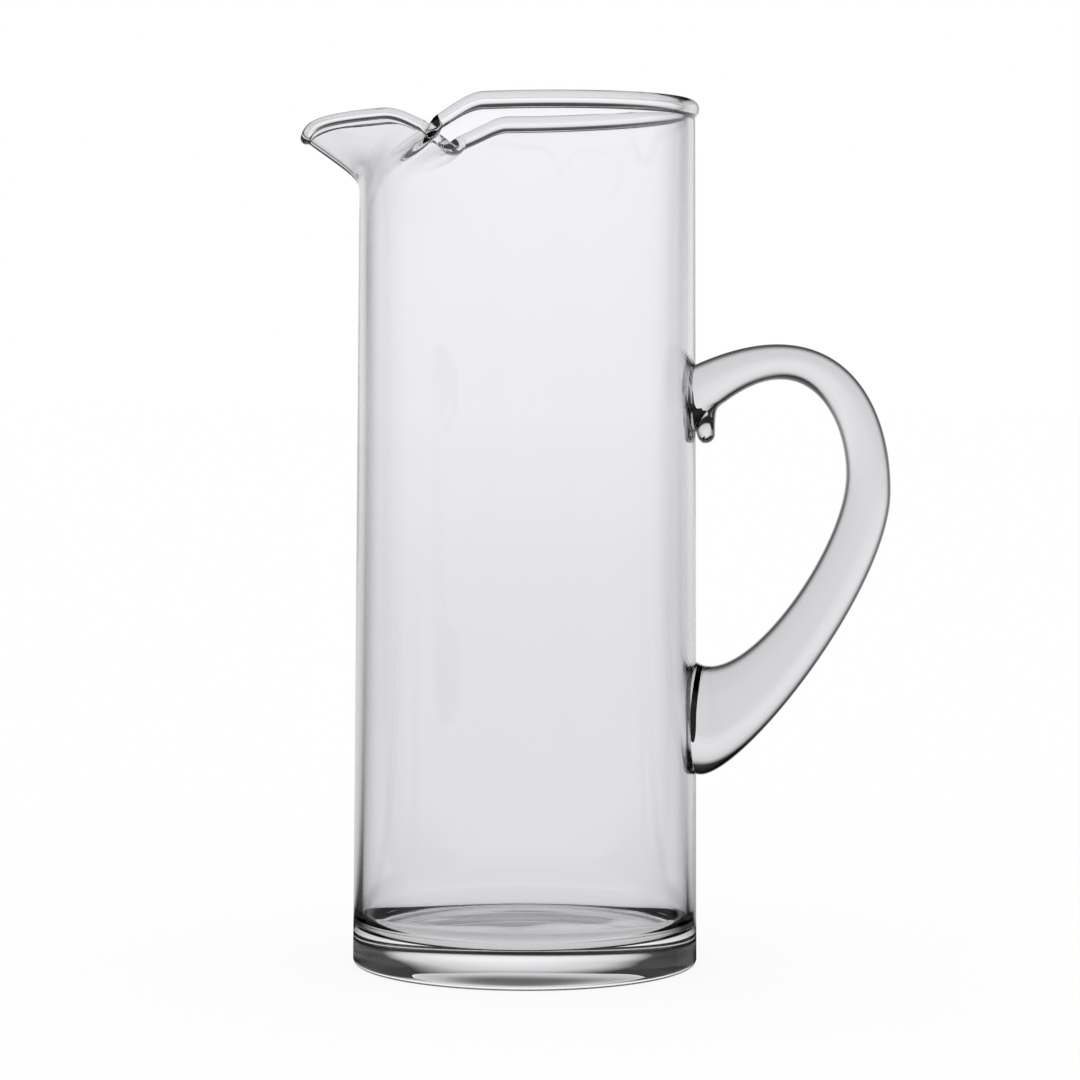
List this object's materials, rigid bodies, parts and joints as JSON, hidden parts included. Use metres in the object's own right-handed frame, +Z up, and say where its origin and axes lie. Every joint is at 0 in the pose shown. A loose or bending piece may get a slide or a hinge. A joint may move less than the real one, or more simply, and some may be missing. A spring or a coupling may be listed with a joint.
{
  "type": "water pitcher",
  "caption": "Tall clear glass water pitcher with a heavy base, a rolled rim, a pulled pouring spout with a pinched throat, and an applied loop handle.",
  "frame": {"origin": "centre of the flat underside of the base", "axes": "+Z up along the vessel, +X towards the handle, -X towards the spout, symmetric about the plane y = 0"},
  "size_m": [0.1781, 0.1042, 0.2601],
  "materials": {
    "vessel_glass": "clear, blown and fire-polished",
    "handle_glass": "clear, hand-drawn and fire-polished"
  },
  "bodies": {
    "root": {"vessel": "vessel_glass", "handle": "handle_glass"}
  },
  "joints": []
}
